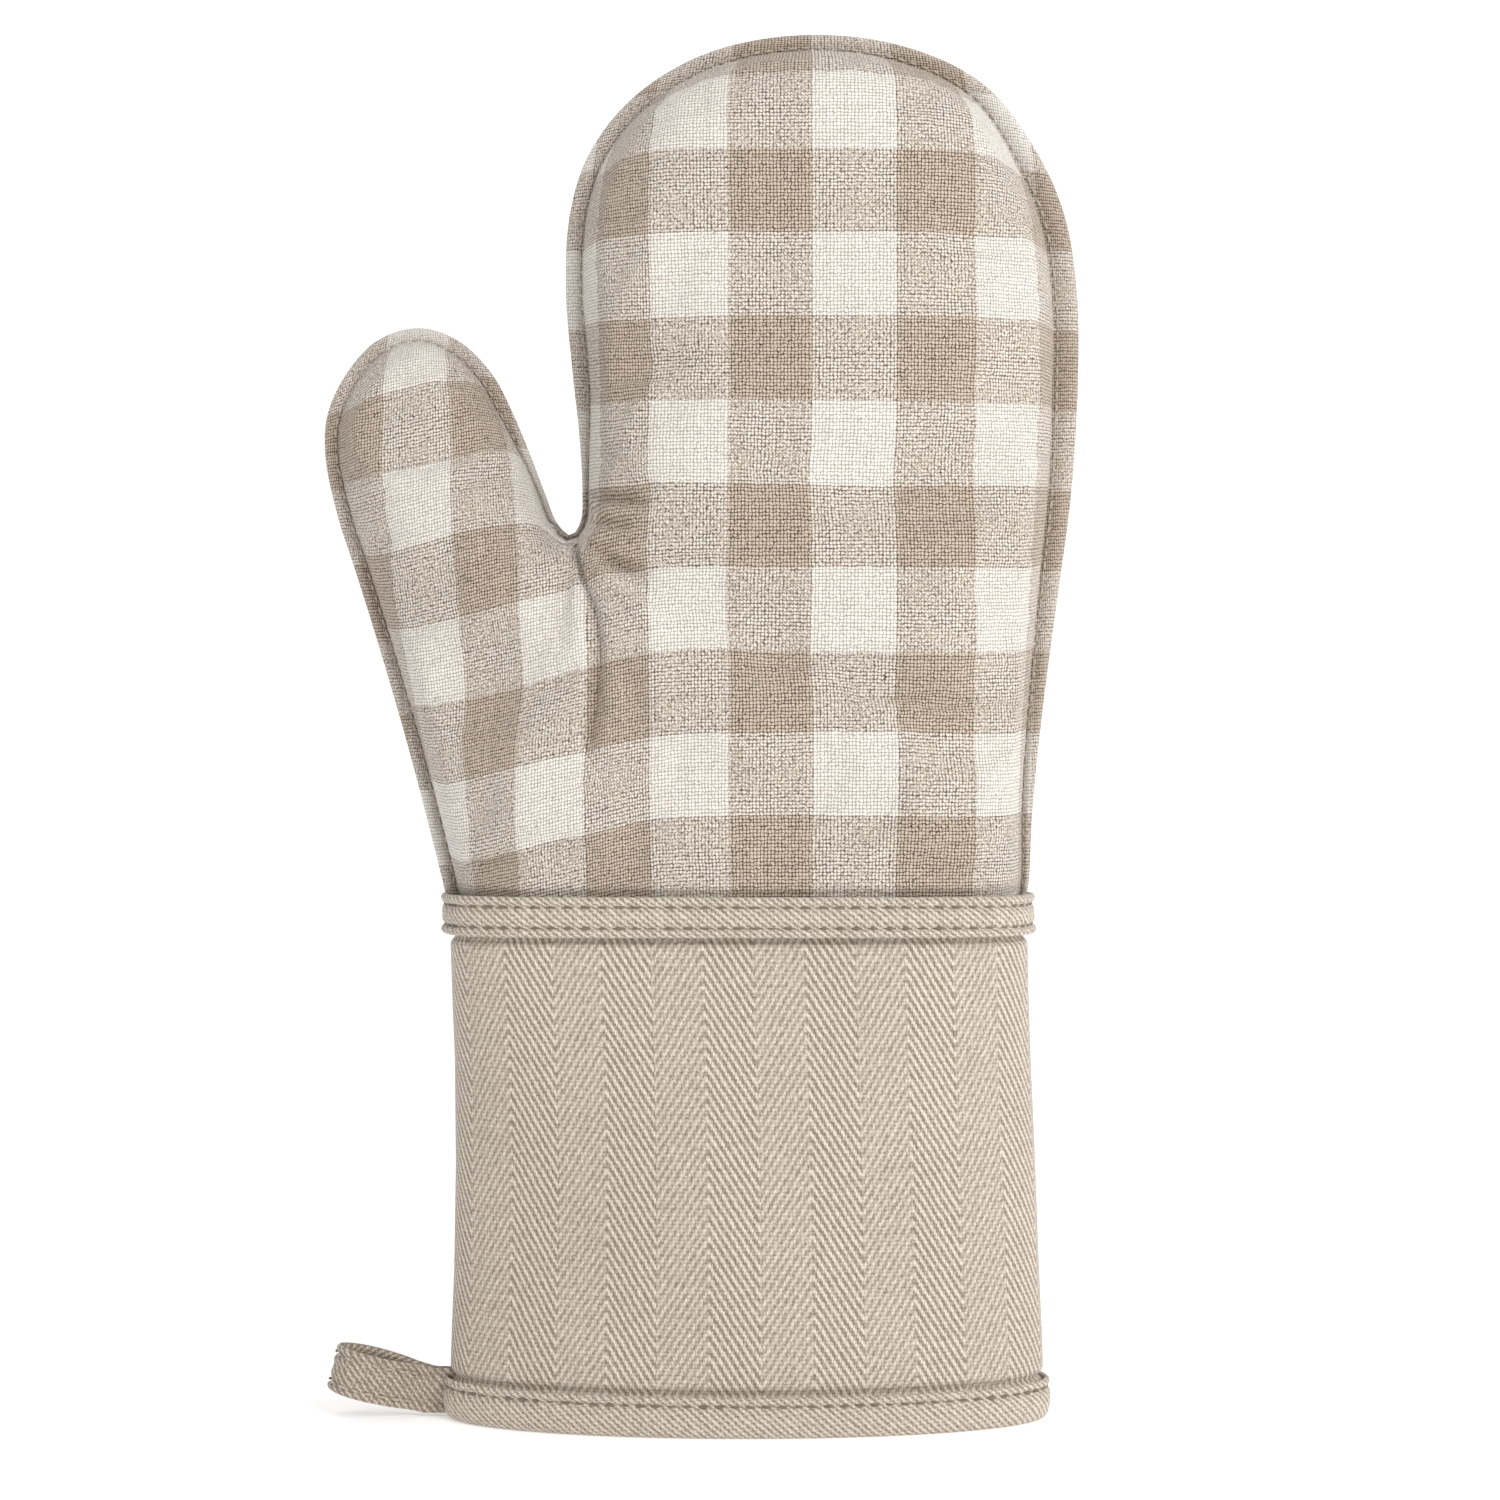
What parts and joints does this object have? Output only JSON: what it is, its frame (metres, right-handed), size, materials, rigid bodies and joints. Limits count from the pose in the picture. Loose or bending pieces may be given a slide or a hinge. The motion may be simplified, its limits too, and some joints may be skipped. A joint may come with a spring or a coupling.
{
  "type": "oven mitt",
  "caption": "Quilted oven mitt with a thumb, checked hand, long herringbone cuff, bound rim and a hanging loop, for holding hot dishes",
  "frame": {"origin": "centre of the cuff's oval opening, in the plane of its rim", "axes": "+Z from the rim up along the hand to the fingertips, +X across the palm away from the thumb, -Y out of the palm side"},
  "size_m": [0.1801, 0.0596, 0.33],
  "materials": {
    "gingham": "plain weave cotton, beige and off-white check",
    "herringbone": "herringbone cotton, beige",
    "tape": "herringbone tape, beige",
    "lining": "plain cotton lining, off-white",
    "batting": "fibre batting, off-white",
    "thread": "cotton sewing thread, beige"
  },
  "bodies": {
    "cuff": {"cuff_front_shell": "herringbone", "cuff_back_shell": "herringbone", "cuff_front_batting": "batting", "cuff_back_batting": "batting", "cuff_front_lining": "lining", "cuff_back_lining": "lining", "palm_front_shell": "gingham", "palm_back_shell": "gingham", "palm_front_batting": "batting", "palm_back_batting": "batting", "palm_front_lining": "lining", "palm_back_lining": "lining", "wrist_band_front": "tape", "wrist_band_back": "tape", "hem_binding": "tape", "band_upper_stitching": "thread", "band_lower_stitching": "thread", "hem_stitching": "thread", "palm_edge_stitching": "thread"},
    "fingers": {"fingers_front_shell": "gingham", "fingers_back_shell": "gingham", "fingers_front_batting": "batting", "fingers_back_batting": "batting", "fingers_front_lining": "lining", "fingers_back_lining": "lining", "fingers_edge_stitching": "thread"},
    "thumb": {"thumb_front_shell": "gingham", "thumb_back_shell": "gingham", "thumb_front_batting": "batting", "thumb_back_batting": "batting", "thumb_front_lining": "lining", "thumb_back_lining": "lining", "thumb_edge_stitching": "thread"},
    "loop": {"hanging_loop": "tape", "loop_stitching": "thread"}
  },
  "joints": [
    {"name": "finger_flex", "type": "hinge", "parent": "cuff", "child": "fingers", "pos_m": [0.018, -0.0272, 0.213], "axis": [1, 0, 0], "range_deg": [0, 35], "stiffness_Nm_per_rad": 0.08},
    {"name": "thumb_flex", "type": "hinge", "parent": "cuff", "child": "thumb", "pos_m": [-0.0708, -0.0208, 0.20386], "axis": [0.9744, 0, 0.225], "range_deg": [0, 30], "stiffness_Nm_per_rad": 0.04},
    {"name": "loop_swing", "type": "hinge", "parent": "cuff", "child": "loop", "pos_m": [-0.07726, 0, 0.0008], "axis": [0.2419, 0, 0.9703], "range_deg": [-70, 70], "stiffness_Nm_per_rad": 0.003}
  ]
}
